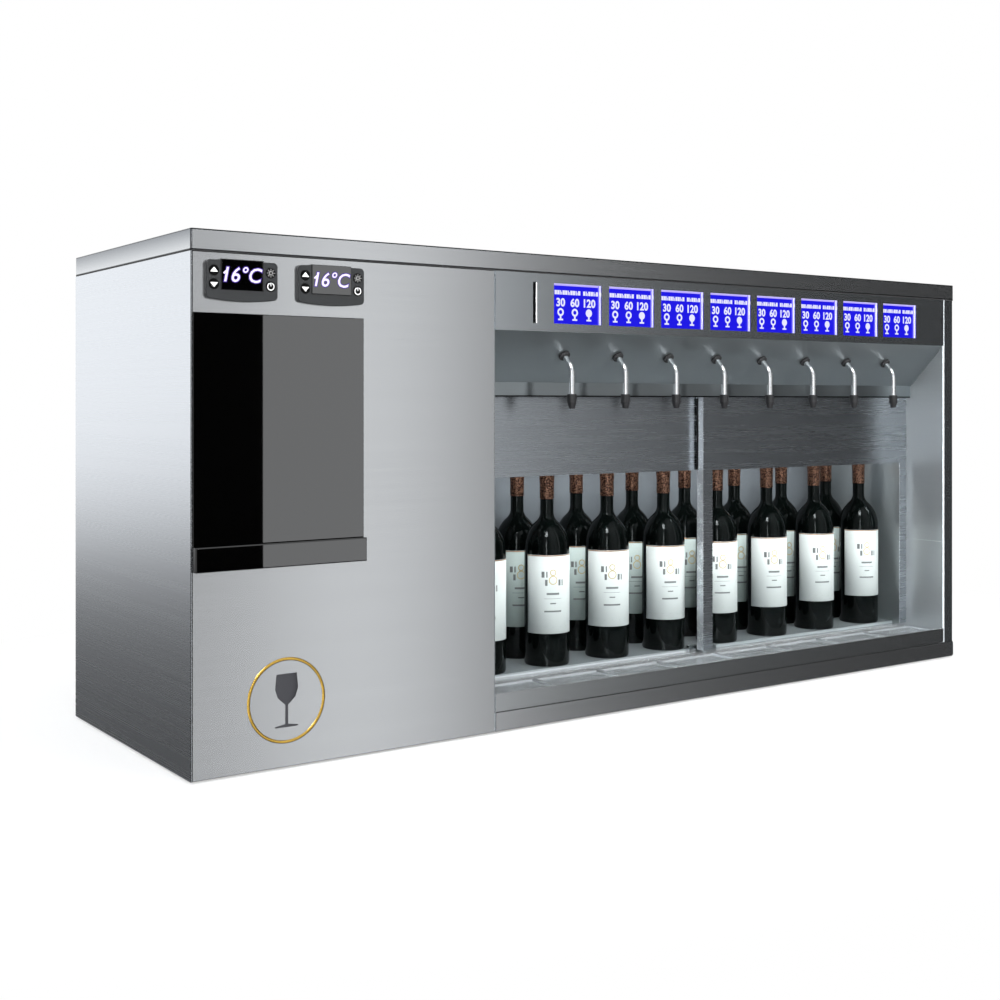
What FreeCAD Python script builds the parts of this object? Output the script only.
# Wine preservation dispenser for a counter: a machine compartment on the left and a cooled bottle bay
# behind two sliding doors on the right, with eight spouts over a drip tray.
# Millimetres. The origin is on the counter under the middle of the cabinet. +X runs along the front to
# the right, the front faces -Y and +Z is up.
import FreeCAD, Part
import math
import os
import Sketcher

# Driving sizes. Widths are counted from the cabinet's left side, depths from its front plane and
# heights from its underside, unless the name says otherwise.
SIZES = {
    # Cabinet
    "cabinet_width": 1566,
    "cabinet_depth": 465,
    "cabinet_height": 720,
    "foot_height": 3,
    "foot_radius": 18,
    "foot_inset": 45,
    "sheet": 1.5,
    "edge_bevel": 0.8,
    "fold": 15,
    "seam": 0.5,
    # Top cover and the deck that it stands on
    "cover_height": 27.7,
    "cover_gap": 2,
    "cover_overhang": 4,
    "cover_hem": 12,
    "cover_corner": 3,
    # Machine compartment on the left
    "machine_width": 480,
    "service_depth": 12,
    "wall_setback": 2,
    "board_thickness": 20,
    # Plinth, right side panel and bay
    "plinth_height": 28.6,
    "plinth_sheet": 2,
    "plinth_corner": 4,
    "right_panel_width": 26.5,
    "right_panel_bevel": 2.5,
    "shelf_height": 55,
    "shelf_lip": 11,
    "liner_back": 300,
    "liner_rise": 4,
    "cold_plate_sheet": 5,
    "cold_plate_margin": 45,
    "cold_plate_gap": 20,
    "back_board": 30,
    # Drip bed and its lift-out tray
    "bed_gap": 1,
    "rim_height": 55.9,
    "rim_depth": 5,
    "well_floor": 46,
    "tray_depth": 80,
    "tray_thickness": 4.6,
    "tray_gap": 0.5,
    "dish_count": 8,
    "dish_depth": 2.6,
    "dish_border": 4,
    "dish_slope": 45,
    "door_floor": 50,
    "guide_height": 12,
    "guide_width": 24,
    "guide_inset": 12,
    # Display fascia, card slot and display modules
    "fascia_height": 88.4,
    "display_count": 8,
    "display_left_margin": 156.3,
    "display_right_margin": 129.1,
    "display_post": 15.8,
    "display_height": 62.1,
    "display_raise": 12.8,
    "display_recess": 6,
    "display_rim": 3,
    "display_depth": 16,
    "slot_left_margin": 71.9,
    "slot_width": 5.4,
    "slot_height": 62.7,
    "slot_raise": 12.4,
    "slot_depth": 50,
    "reader_wall": 8,
    # Spout panel, which falls back at 45 degrees, and the spouts
    "incline_run": 77,
    "header_height": 23.1,
    "spout_seat": 34,
    "spout_radius": 4.8,
    "spout_bore": 2.5,
    "spout_straight": 17,
    "spout_bend": 27,
    "spout_tail": 16,
    "nozzle_drop": 18.8,
    "nozzle_height": 23,
    "nozzle_radius": 7.7,
    "nozzle_tip_radius": 4.4,
    "nozzle_seat": 5,
    "grommet_radius": 9.25,
    "grommet_height": 4,
    "grommet_neck": 6.5,
    "fitting_lip": 3,
    "seat_clearance": 0.05,
    "hole_clearance": 0.3,
    "valve_width": 24,
    "valve_length": 30,
    "coil_width": 22,
    "coil_length": 34,
    # Door track and sliding doors
    "track_front": 86,
    "track_wall": 2,
    "track_web": 4,
    "track_lip": 2,
    "track_raise": 24.2,
    "track_room": 8,
    "track_slot": 6,
    "front_door_face": 89,
    "rear_door_face": 107,
    "door_depth": 15,
    "door_raise": 1,
    "door_drop": 8,
    "door_gap": 0.5,
    "left_door_lap": 4,
    "right_door_lap": 20,
    "meeting_stile": 22,
    "end_stile": 18,
    "upper_panel_height": 145,
    "pane_sheet": 4,
    "pane_gap": 0.2,
    "pane_lap": 17,
    "glide_length": 30,
    "glide_inset": 60,
    "glide_stem": 3,
    "glide_width": 13,
    "glide_height": 6,
    "glide_clearance": 0.3,
    # Bottles, stoppers and hoses
    "bottle_count": 8,
    "bottle_left_margin": 85.5,
    "bottle_right_margin": 57.8,
    "front_row": 160,
    "rear_row": 246,
    "bottle_radius": 38,
    "bottle_height": 325,
    "bottle_shoulder": 194,
    "shoulder_radius": 60,
    "shoulder_blend": 20,
    "neck_radius": 12.5,
    "stopper_radius": 14,
    "stopper_height": 32,
    "stopper_waist": 11,
    "stopper_flange": 10,
    "hose_radius": 3,
    "hose_headroom": 50.3,
    "hose_hole": 4,
    "hose_sides": 8,
    "gas_row": 185,
    "gas_hose_height": 19,
    "manifold_margin": 48.5,
    "manifold_end_gap": 5.5,
    "manifold_size": 16,
    # Gas supply and cable entry at the back
    "fitting_proud": 14,
    "fitting_inside": 15,
    "fitting_radius": 8,
    "fitting_flange": 12,
    "fitting_bore": 3,
    "fitting_reach": 15,
    "fitting_neck": 7,
    "gas_port_drop": 90.3,
    "gas_wall_inset": 110,
    "gas_wall_hole": 6,
    "regulator_size": 40,
    "bonnet_radius": 18,
    "bonnet_height": 32,
    "gauge_radius": 19,
    "gauge_depth": 15,
    "gland_across": 60,
    "gland_height": 60,
    "gland_radius": 12,
    "gland_neck": 9,
    "gland_bore": 4,
    "gland_proud": 12,
    "gland_inside": 14,
    # Touch screen on the service panel
    "screen_left": 2,
    "screen_width": 253,
    "screen_height": 305.9,
    "screen_drop": 79.7,
    "glass_proud": 2.5,
    "housing_inset": 18,
    "housing_depth": 25,
    "housing_clearance": 0.5,
    "chin_height": 32.7,
    "chin_proud": 12,
    "chin_bevel": 1.5,
    "board_sheet": 1.6,
    "board_standoff": 3,
    "chip_height": 6,
    # Temperature controllers
    "controller_left": 19,
    "controller_pitch": 132.5,
    "controller_drop": 60.3,
    "controller_width": 102,
    "controller_height": 50,
    "controller_bow": 4,
    "controller_proud": 6,
    "controller_corner": 6,
    "case_width": 71,
    "case_height": 29,
    "case_depth": 50,
    "window_left": 20,
    "window_width": 61,
    "window_height": 40.5,
    "window_over": 1.5,
    "window_proud": 1.5,
    "window_seat": 3,
    "button_radius": 7,
    "button_length": 4,
    "button_proud": 0.6,
    "button_pocket": 5,
    "button_clearance": 0.3,
    "button_side": 10.5,
    "upper_button": 36,
    "lower_button": 18,
    # Cooling unit
    "compressor_inset": 130,
    "compressor_back": 130,
    "compressor_radius": 70,
    "compressor_height": 172,
    "mount_height": 10,
    "condenser_left": 40,
    "condenser_room": 140,
    "condenser_inset": 65,
    "condenser_depth": 40,
    "condenser_height": 320,
    "fin_count": 24,
    "fin_slot": 6,
    "fan_height": 165,
    "fan_opening": 125,
    "fan_radius": 118,
    "fan_collar": 30,
    "shroud_size": 270,
    "shroud_sheet": 4,
    "motor_radius": 30,
    "motor_length": 30,
    "hub_radius": 22,
    "hub_length": 18,
    "shaft_radius": 3,
    "shaft_clearance": 0.05,
    "blade_count": 5,
    "blade_pitch": 16,
    "blade_root": 26,
    "blade_tip": 60,
    "blade_sheet": 2,
    "pipe_radius": 2,
    "pipe_hole": 3.5,
    "louvre_count": 12,
    "louvre_pitch": 22,
    "louvre_height": 6,
    "louvre_width": 260,
    "louvre_left": 60,
    "louvre_bottom": 60,
    "supply_width": 110,
    "supply_depth": 200,
    "supply_height": 60,
}

doc = FreeCAD.newDocument("WineDispenser")
sheet = doc.addObject("Spreadsheet::Sheet", "Sizes")
for row, (alias, number) in enumerate(SIZES.items(), start=1):
    sheet.set(f"A{row}", alias)
    sheet.set(f"B{row}", str(number))
    sheet.setAlias(f"B{row}", alias)
doc.recompute()


class Size:
    """A length worked out from the sheet: its expression, and its value for a first drawing."""

    def __init__(self, text, value):
        self.text = text
        self.value = value

    def __add__(self, other):
        other = as_size(other)
        return Size(f"({self.text} + {other.text})", self.value + other.value)

    def __sub__(self, other):
        other = as_size(other)
        return Size(f"({self.text} - {other.text})", self.value - other.value)

    def __mul__(self, other):
        other = as_size(other)
        return Size(f"({self.text} * {other.text})", self.value * other.value)

    def __truediv__(self, other):
        other = as_size(other)
        return Size(f"({self.text} / {other.text})", self.value / other.value)

    def __neg__(self):
        return as_size(0) - self

    def __radd__(self, other):
        return as_size(other) + self

    def __rsub__(self, other):
        return as_size(other) - self

    def __rmul__(self, other):
        return as_size(other) * self


def as_size(item):
    """A plain number as a Size."""
    if isinstance(item, Size):
        return item
    return Size(repr(float(item)), float(item))


def root(item):
    """The square root of a Size."""
    return Size(f"sqrt({item.text})", math.sqrt(item.value))


class Sheet:
    """Gives each cell of the sheet as a Size."""

    def __getattr__(self, name):
        return Size(f"Sizes.{name}", float(SIZES[name]))


S = Sheet()
SLANT = math.sqrt(0.5)

left = -S.cabinet_width / 2
front = (S.chin_proud - S.fitting_proud - S.cabinet_depth) / 2


def across(width):
    """X of a width counted from the cabinet's left side."""
    return left + width


def back(depth):
    """Y of a depth counted from the cabinet's front plane."""
    return front + depth


def up(height):
    """Z of a height counted from the cabinet's underside."""
    return S.foot_height + height


body_top = S.cabinet_height - S.cover_height - S.cover_gap
bay_left = S.machine_width + S.sheet
bay_right = S.cabinet_width - S.cover_overhang - S.right_panel_width
bay_width = bay_right - bay_left
panel_right = S.cabinet_width - S.cover_overhang
tray_floor = S.sheet * 2

# Displays, card slot, spouts and door track, from the top down
fascia_bottom = body_top - S.fascia_height
display_first = bay_left + S.display_left_margin
display_pitch = (bay_right - S.display_right_margin - display_first) / (S.display_count - 1)
display_width = display_pitch - S.display_post
display_bottom = fascia_bottom + S.display_raise
slot_centre = bay_left + S.slot_left_margin
slot_bottom = fascia_bottom + S.slot_raise
header_bottom = fascia_bottom - S.incline_run - S.header_height
nozzle_bottom = header_bottom - S.nozzle_drop
track_lip_bottom = header_bottom + S.track_raise
door_top = track_lip_bottom - S.door_drop
door_bottom = S.shelf_height + S.door_raise
window_top = door_top - S.upper_panel_height
left_door_width = bay_width / 2 + S.left_door_lap
right_door_width = bay_width / 2 + S.right_door_lap

# Bottles, liner and cooling
bottle_first = bay_left + S.bottle_left_margin
bottle_pitch = (bay_right - S.bottle_right_margin - bottle_first) / (S.bottle_count - 1)
liner_top = track_lip_bottom + S.liner_rise
board_back = S.liner_back + S.sheet + S.cold_plate_sheet + S.back_board
ceiling_top = liner_top + S.sheet + S.board_thickness
cold_plate_width = (bay_width - S.cold_plate_gap * 3) / 2
plate_bottom = S.shelf_height + S.cold_plate_margin
cold_plate_height = liner_top - S.cold_plate_margin - plate_bottom
pipe_depth = S.liner_back + S.sheet + S.cold_plate_sheet / 2
pipe_heights = (plate_bottom + cold_plate_height * 0.4, plate_bottom + cold_plate_height * 0.6)
condenser_width = S.machine_width - S.condenser_left - S.condenser_room
condenser_front = S.cabinet_depth - S.condenser_inset
fan_across = S.condenser_left + condenser_width / 2
compressor_across = S.machine_width - S.compressor_inset

# Screen, controllers and gas supply
screen_top = body_top - S.screen_drop
screen_bottom = screen_top - S.screen_height
chin_bottom = screen_bottom - S.chin_height
controller_bottom = body_top - S.controller_drop
gas_port_across = S.machine_width - S.regulator_size / 2
gas_port_height = body_top - S.gas_port_drop
gas_wall_depth = S.cabinet_depth - S.gas_wall_inset
hose_ceiling = body_top - S.hose_headroom
manifold_left = bay_left + S.manifold_margin
manifold_right = bay_right - S.manifold_end_gap
well_back = S.rim_depth + S.tray_depth + S.tray_gap * 2
shelf_front = S.rear_door_face + S.door_depth + S.track_wall
right_door_left = bay_right - S.door_gap - right_door_width
left_door_left = bay_left + S.door_gap


# Helpers that make and bind features

def bind(item, name, amount):
    """Ties a property to the sheet."""
    item.setExpression(name, as_size(amount).text)


def spot(point):
    return FreeCAD.Vector(point[0].value, point[1].value, 0)


def pin(sketch, geometry, end, point):
    """Holds a point of the sketch at a place worked out from the sheet."""
    for kind, amount in (("DistanceX", point[0]), ("DistanceY", point[1])):
        number = sketch.addConstraint(Sketcher.Constraint(kind, -1, 1, geometry, end, amount.value))
        sketch.renameConstraint(number, f"{kind}{number}")
        bind(sketch, f"Constraints.{kind}{number}", amount)


def draw_outline(sketch, points):
    """Draws a closed outline of straight lines."""
    points = [(as_size(a), as_size(b)) for a, b in points]
    lines = []
    for start, end in zip(points, points[1:] + points[:1]):
        lines.append(sketch.addGeometry(Part.LineSegment(spot(start), spot(end)), False))
    for line, following in zip(lines, lines[1:] + lines[:1]):
        sketch.addConstraint(Sketcher.Constraint("Coincident", line, 2, following, 1))
    for line, point in zip(lines, points):
        pin(sketch, line, 1, point)


def draw_rectangle(sketch, low, high):
    draw_outline(sketch, [(low[0], low[1]), (high[0], low[1]), (high[0], high[1]), (low[0], high[1])])


def draw_circle(sketch, centre, radius):
    centre = (as_size(centre[0]), as_size(centre[1]))
    radius = as_size(radius)
    axis = FreeCAD.Vector(0, 0, 1)
    circle = sketch.addGeometry(Part.Circle(spot(centre), axis, radius.value), False)
    pin(sketch, circle, 3, centre)
    number = sketch.addConstraint(Sketcher.Constraint("Radius", circle, radius.value))
    sketch.renameConstraint(number, f"Radius{number}")
    bind(sketch, f"Constraints.Radius{number}", radius)


def new_body(label):
    body = doc.addObject("PartDesign::Body", "Body")
    body.Label = label
    return body


def origin_part(body, role):
    return next(item for item in body.Origin.OriginFeatures if item.Role == role)


def new_sketch(body, plane, offset=0):
    """A sketch on one of the body's own planes: top is XY, front is XZ and side is YZ."""
    role = {"top": "XY_Plane", "front": "XZ_Plane", "side": "YZ_Plane"}[plane]
    sketch = body.newObject("Sketcher::SketchObject", "Sketch")
    sketch.AttachmentSupport = [(origin_part(body, role), "")]
    sketch.MapMode = "FlatFace"
    offset = as_size(offset)
    # The front plane's own normal points to -Y.
    bind(sketch, "AttachmentOffset.Base.z", -offset if plane == "front" else offset)
    return sketch


def finish(body, feature):
    body.Tip = feature
    doc.recompute()
    return feature


def pad(body, sketch, length):
    """Fills the outline along the plane's normal: up, to the front or to the right."""
    feature = body.newObject("PartDesign::Pad", "Pad")
    feature.Profile = sketch
    bind(feature, "Length", length)
    sketch.Visibility = False
    return finish(body, feature)


def pocket(body, sketch, depth=None, along_normal=False):
    """Cuts the outline to a depth, against the plane's normal or along it, or right through."""
    before = body.Shape.Volume
    feature = body.newObject("PartDesign::Pocket", "Pocket")
    feature.Profile = sketch
    if depth is None:
        feature.Type = "ThroughAll"
        feature.SideType = "Symmetric"
    else:
        bind(feature, "Length", depth)
        feature.Reversed = along_normal
    finish(body, feature)
    if body.Shape.Volume > before - 1e-6:
        raise RuntimeError(f"{body.Label}: a pocket cuts nothing")
    return feature


def revolve(body, outline):
    """Turns an outline of radius and height around the body's own Z axis."""
    sketch = new_sketch(body, "front")
    draw_outline(sketch, outline)
    feature = body.newObject("PartDesign::Revolution", "Revolution")
    feature.Profile = sketch
    feature.ReferenceAxis = (sketch, ["V_Axis"])
    feature.Angle = 360
    return finish(body, feature)


def repeat(body, feature, count, pitch):
    """Repeats a feature along X."""
    pattern = body.newObject("PartDesign::LinearPattern", "Pattern")
    pattern.Originals = [feature]
    pattern.Direction = (origin_part(body, "X_Axis"), [""])
    bind(pattern, "Length", pitch * (count - 1))
    bind(pattern, "Occurrences", count)
    return finish(body, pattern)


def dress(body, kind, size, test):
    """Chamfers or fillets the edges that pass a test."""
    base = body.Tip
    names = [f"Edge{n}" for n, edge in enumerate(base.Shape.Edges, start=1) if test(edge)]
    feature = body.newObject(f"PartDesign::{kind}", kind)
    feature.Base = (base, names)
    bind(feature, "Size" if kind == "Chamfer" else "Radius", size)
    return finish(body, feature)


def runs_along(edge, axis):
    """True where both ends of a straight edge differ only along one axis, 0, 1 or 2."""
    if len(edge.Vertexes) != 2:
        return False
    step = edge.Vertexes[1].Point - edge.Vertexes[0].Point
    return all(abs(step[n]) < 1e-6 for n in range(3) if n != axis)


def lies_at(edge, axis, place):
    """True where the whole edge lies at one coordinate."""
    box = edge.BoundBox
    low = (box.XMin, box.YMin, box.ZMin)[axis]
    high = (box.XMax, box.YMax, box.ZMax)[axis]
    return abs(low - place) < 1e-4 and abs(high - place) < 1e-4


def place(body, x, y, z, turn=0):
    """Sets a body's place, with a turn in degrees about X."""
    body.Placement = FreeCAD.Placement(FreeCAD.Vector(0, 0, 0), FreeCAD.Rotation(FreeCAD.Vector(1, 0, 0), turn))
    bind(body, "Placement.Base.x", x)
    bind(body, "Placement.Base.y", y)
    bind(body, "Placement.Base.z", z)
    doc.recompute()


pieces = []


def keep(item):
    pieces.append(item)
    return item


def block(label, x, y, z):
    """A rectangular piece between pairs of coordinates."""
    item = doc.addObject("Part::Box", "Block")
    item.Label = label
    for length, name, (low, high) in (("Length", "x", x), ("Width", "y", y), ("Height", "z", z)):
        bind(item, length, high - low)
        bind(item, f"Placement.Base.{name}", low)
    doc.recompute()
    return item


def extrusion(label, points, start, end):
    """A sheet or bar with one section of depth and height from end to end along X."""
    body = new_body(label)
    sketch = new_sketch(body, "side", across(start))
    draw_outline(sketch, [(back(depth), up(height)) for depth, height in points])
    pad(body, sketch, end - start)
    return body


def group(label, items):
    """Several solids that share one node."""
    item = doc.addObject("Part::Compound", "Group")
    item.Label = label
    item.Links = items
    doc.recompute()
    return item


def tube(points, radius, sides):
    """A tube of a few flat sides through points, with a tangent arc at each corner."""
    points = [FreeCAD.Vector(*(as_size(c).value for c in point)) for point in points]
    edges = []
    start = points[0]
    for before, corner, after in zip(points, points[1:], points[2:]):
        reach = 0.45 * min((corner - before).Length, (after - corner).Length)
        into = (corner - before).normalize()
        out = (after - corner).normalize()
        first = corner - into * reach
        last = corner + out * reach
        half_turn = into.getAngle(out) / 2
        arc_radius = reach / math.tan(half_turn)
        middle = corner + (out - into).normalize() * (arc_radius / math.cos(half_turn) - arc_radius)
        edges.append(Part.LineSegment(start, first).toShape())
        edges.append(Part.Arc(first, middle, last).toShape())
        start = last
    edges.append(Part.LineSegment(start, points[-1]).toShape())
    path = Part.Wire(edges)
    direction = (points[1] - points[0]).normalize()
    circle = Part.Circle(points[0], direction, radius.value).toShape()
    ring = Part.makePolygon(circle.discretize(sides + 1))
    return path.makePipeShell([ring], True, False)


def tubes(label, routes, radius):
    """Tubes with routes in space, as one node."""
    item = doc.addObject("Part::Feature", "Tubes")
    item.Label = label
    item.Shape = Part.Compound([tube(route, radius, SIZES["hose_sides"]) for route in routes])
    return item


# Cabinet shell

def make_top_cover():
    body = new_body("top_cover")
    low = (across(0), back(0))
    high = (across(S.cabinet_width), back(S.cabinet_depth))
    bottom = up(S.cabinet_height - S.cover_height)
    sketch = new_sketch(body, "top", bottom)
    draw_rectangle(sketch, low, high)
    pad(body, sketch, S.cover_height)
    dress(body, "Fillet", S.cover_corner, lambda edge: runs_along(edge, 2))
    top = up(S.cabinet_height).value
    dress(body, "Chamfer", S.edge_bevel, lambda edge: lies_at(edge, 2, top))
    hollow = new_sketch(body, "top", up(S.cabinet_height) - S.sheet)
    draw_rectangle(hollow, [c + S.sheet for c in low], [c - S.sheet for c in high])
    pocket(body, hollow, S.cover_height - S.sheet * 2)
    opening = new_sketch(body, "top", bottom + S.sheet)
    draw_rectangle(opening, [c + S.cover_hem for c in low], [c - S.cover_hem for c in high])
    pocket(body, opening, S.sheet)
    keep(body)


def make_top_deck():
    inset = S.cover_overhang
    keep(block("top_deck", (across(inset), across(panel_right - inset)),
               (back(inset), back(S.cabinet_depth - inset)),
               (up(body_top), up(body_top + S.cover_gap))))


def make_left_side_panel():
    body = new_body("left_side_panel")
    sketch = new_sketch(body, "front", back(S.cabinet_depth))
    outline = [(0, 0), (S.fold, 0), (S.fold, S.sheet), (S.sheet, S.sheet),
               (S.sheet, body_top - S.sheet), (S.fold, body_top - S.sheet), (S.fold, body_top), (0, body_top)]
    draw_outline(sketch, [(across(width), up(height)) for width, height in outline])
    pad(body, sketch, S.cabinet_depth)
    corner_x = across(0).value
    corner_y = back(0).value
    dress(body, "Chamfer", S.edge_bevel,
          lambda edge: runs_along(edge, 2) and lies_at(edge, 0, corner_x) and lies_at(edge, 1, corner_y))
    notches = new_sketch(body, "top", up(0))
    for low, high in ((-S.seam, S.service_depth + S.seam), (S.cabinet_depth - S.sheet, S.cabinet_depth + S.seam)):
        draw_rectangle(notches, (across(S.sheet), back(low)), (across(S.fold + S.seam), back(high)))
    pocket(body, notches)
    keep(body)


def make_right_side_panel():
    body = new_body("right_side_panel")
    sketch = new_sketch(body, "top", up(S.plinth_height))
    bevel = S.right_panel_bevel
    outline = [(bay_right + bevel, 0), (panel_right, 0), (panel_right, S.cabinet_depth),
               (panel_right - S.sheet, S.cabinet_depth), (panel_right - S.sheet, S.sheet),
               (bay_right + bevel, S.sheet), (bay_right + S.sheet, bevel),
               (bay_right + S.sheet, S.cabinet_depth - S.sheet),
               (bay_right, S.cabinet_depth - S.sheet), (bay_right, bevel)]
    draw_outline(sketch, [(across(width), back(depth)) for width, depth in outline])
    pad(body, sketch, body_top - S.plinth_height)
    keep(body)


def make_rear_panel():
    body = new_body("rear_panel")
    sketch = new_sketch(body, "front", back(S.cabinet_depth))
    draw_rectangle(sketch, (across(S.sheet), up(S.plinth_height)), (across(panel_right - S.sheet), up(body_top)))
    draw_circle(sketch, (across(gas_port_across), up(gas_port_height)), S.fitting_neck + S.hole_clearance)
    draw_circle(sketch, (across(S.gland_across), up(S.gland_height)), S.gland_neck + S.hole_clearance)
    pad(body, sketch, S.sheet)
    slots = new_sketch(body, "front", back(S.cabinet_depth))
    for number in range(SIZES["louvre_count"]):
        bottom = up(S.louvre_bottom + S.gland_height + S.louvre_pitch * number)
        draw_rectangle(slots, (across(S.louvre_left), bottom),
                       (across(S.louvre_left + S.louvre_width), bottom + S.louvre_height))
    pocket(body, slots)
    keep(body)


def make_service_panel():
    body = new_body("service_panel")
    low = (across(S.sheet + S.seam), up(0))
    high = (across(S.machine_width - S.seam), up(body_top))
    sketch = new_sketch(body, "front", back(S.service_depth))
    draw_rectangle(sketch, low, high)
    pad(body, sketch, S.service_depth)
    face = back(0).value
    dress(body, "Chamfer", S.edge_bevel, lambda edge: lies_at(edge, 1, face))
    hollow = new_sketch(body, "front", back(S.service_depth))
    draw_rectangle(hollow, [c + S.sheet for c in low], [c - S.sheet for c in high])
    pocket(body, hollow, S.service_depth - S.sheet, along_normal=True)
    holes = new_sketch(body, "front", back(0))
    clear = S.housing_clearance
    side = across(S.screen_left + S.housing_inset)
    draw_rectangle(holes, (side - clear, up(screen_bottom + S.housing_inset) - clear),
                   (side + S.screen_width - S.housing_inset * 2 + clear,
                    up(screen_top - S.housing_inset) + clear))
    for number in range(2):
        centre = across(S.controller_left + S.controller_width / 2 + S.controller_pitch * number)
        middle = up(controller_bottom + S.controller_height / 2)
        draw_rectangle(holes, (centre - S.case_width / 2 - clear, middle - S.case_height / 2 - clear),
                       (centre + S.case_width / 2 + clear, middle + S.case_height / 2 + clear))
    pocket(body, holes)
    keep(body)


def make_compartment_wall():
    body = new_body("compartment_wall")
    sketch = new_sketch(body, "side", across(S.machine_width))
    draw_rectangle(sketch, (back(S.wall_setback), up(0)), (back(S.cabinet_depth - S.sheet), up(body_top)))
    draw_circle(sketch, (back(gas_wall_depth), up(gas_port_height)), S.gas_wall_hole)
    for height in pipe_heights:
        draw_circle(sketch, (back(pipe_depth), up(height)), S.pipe_hole)
    pad(body, sketch, S.sheet)
    keep(body)


def make_insulation():
    """Foam boards round the bay and in the right side panel."""
    wall_board = new_body("wall_board")
    sketch = new_sketch(wall_board, "side", across(S.machine_width - S.board_thickness))
    draw_rectangle(sketch, (back(S.service_depth + S.seam * 2), up(S.plinth_height)),
                   (back(S.cabinet_depth - S.sheet), up(ceiling_top)))
    for height in pipe_heights:
        draw_circle(sketch, (back(pipe_depth), up(height)), S.pipe_hole)
    pad(wall_board, sketch, S.board_thickness)

    ceiling = new_body("ceiling_board")
    sketch = new_sketch(ceiling, "top", up(liner_top + S.sheet))
    draw_rectangle(sketch, (across(bay_left), back(shelf_front)), (across(bay_right), back(board_back)))
    pad(ceiling, sketch, S.board_thickness)
    cut_hose_slots(ceiling)

    span = (across(bay_left), across(bay_right))
    floor = block("floor_board", span, (back(shelf_front + S.sheet), back(board_back)),
                  (up(S.plinth_height), up(S.shelf_height - S.sheet)))
    rear = block("back_board", span, (back(board_back - S.back_board), back(board_back)),
                 (up(S.shelf_height - S.sheet), up(liner_top + S.sheet)))
    right = block("right_board", (across(bay_right + S.sheet), across(panel_right - S.sheet)),
                  (back(S.right_panel_bevel), back(S.cabinet_depth - S.sheet)),
                  (up(S.plinth_height), up(body_top)))
    keep(group("insulation_boards", [wall_board, ceiling, floor, rear, right]))


def cut_hose_slots(body):
    """A slot over each front bottle, for its wine hose and its gas hose."""
    sketch = new_sketch(body, "top", up(liner_top))
    draw_rectangle(sketch, (across(bottle_first) - S.hose_hole, back(S.front_row) - S.hose_hole),
                   (across(bottle_first) + S.hose_hole, back(S.gas_row) + S.hose_hole))
    repeat(body, pocket(body, sketch), S.bottle_count, bottle_pitch)


def make_bay_plinth():
    body = new_body("bay_plinth")
    sketch = new_sketch(body, "front", back(S.cabinet_depth))
    draw_rectangle(sketch, (across(bay_left), up(0)), (across(S.cabinet_width), up(S.plinth_height)))
    pad(body, sketch, S.cabinet_depth)
    end = across(S.cabinet_width).value
    dress(body, "Fillet", S.plinth_corner, lambda edge: runs_along(edge, 1) and lies_at(edge, 0, end))
    face = back(0).value
    dress(body, "Chamfer", S.edge_bevel, lambda edge: lies_at(edge, 1, face))
    hollow = new_sketch(body, "top", up(0))
    draw_rectangle(hollow, (across(bay_left + S.plinth_sheet), back(S.plinth_sheet)),
                   (across(S.cabinet_width - S.plinth_corner), back(S.cabinet_depth - S.plinth_sheet)))
    pocket(body, hollow, S.plinth_height - S.plinth_sheet, along_normal=True)
    keep(body)


def make_machine_tray():
    body = new_body("machine_tray")
    low = (across(S.sheet + S.seam), back(S.service_depth + S.seam * 2))
    high = (across(S.machine_width - S.seam), back(S.cabinet_depth - S.sheet))
    sketch = new_sketch(body, "top", up(S.sheet))
    draw_rectangle(sketch, low, high)
    pad(body, sketch, S.plinth_height - S.sheet)
    hollow = new_sketch(body, "top", up(S.plinth_height))
    draw_rectangle(hollow, [c + S.sheet for c in low], [c - S.sheet for c in high])
    pocket(body, hollow, S.plinth_height - S.sheet - tray_floor + S.sheet)
    keep(body)


def make_feet():
    """Low feet under the machine tray, and tall ones inside the open plinth."""
    sets = []
    for label, first, last, height in (
            ("tray_feet", S.fold, S.machine_width, S.foot_height + S.sheet),
            ("plinth_feet", bay_left, S.cabinet_width, S.foot_height + S.plinth_height - S.plinth_sheet)):
        body = new_body(label)
        spots = [(across(width), back(depth)) for width in (first + S.foot_inset, last - S.foot_inset)
                 for depth in (S.foot_inset, S.cabinet_depth - S.foot_inset)]
        sketch = new_sketch(body, "top")
        for centre in spots:
            draw_circle(sketch, centre, S.foot_radius)
        pad(body, sketch, height)
        sets.append(body)
    keep(group("feet", sets))


# Bay: fascia, spout panel, track, bed, shelf and liner

def make_display_fascia():
    outline = [(0, fascia_bottom), (0, body_top), (S.service_depth, body_top),
               (S.service_depth, body_top - S.sheet), (S.sheet, body_top - S.sheet), (S.sheet, fascia_bottom)]
    body = extrusion("display_fascia", outline, bay_left, bay_right)
    slot = new_sketch(body, "front", back(0))
    draw_rectangle(slot, (across(slot_centre - S.slot_width / 2), up(slot_bottom)),
                   (across(slot_centre + S.slot_width / 2), up(slot_bottom + S.slot_height)))
    pocket(body, slot)
    window = new_sketch(body, "front", back(0))
    draw_display_window(window)
    repeat(body, pocket(body, window), S.display_count, display_pitch)
    keep(body)


def draw_display_window(sketch, rim=0):
    low = (across(display_first - display_width / 2 - rim), up(display_bottom - rim))
    high = (across(display_first + display_width / 2 + rim), up(display_bottom + S.display_height + rim))
    draw_rectangle(sketch, low, high)


def make_display_modules():
    body = new_body("display_modules")
    sketch = new_sketch(body, "front", back(S.sheet + S.display_depth))
    draw_display_window(sketch, S.display_rim)
    pad(body, sketch, S.display_depth)
    recess = new_sketch(body, "front", back(S.sheet))
    draw_display_window(recess)
    pocket(body, recess, S.display_recess - S.sheet)
    repeat_solid(body, S.display_count, display_pitch)
    keep(body)


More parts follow.
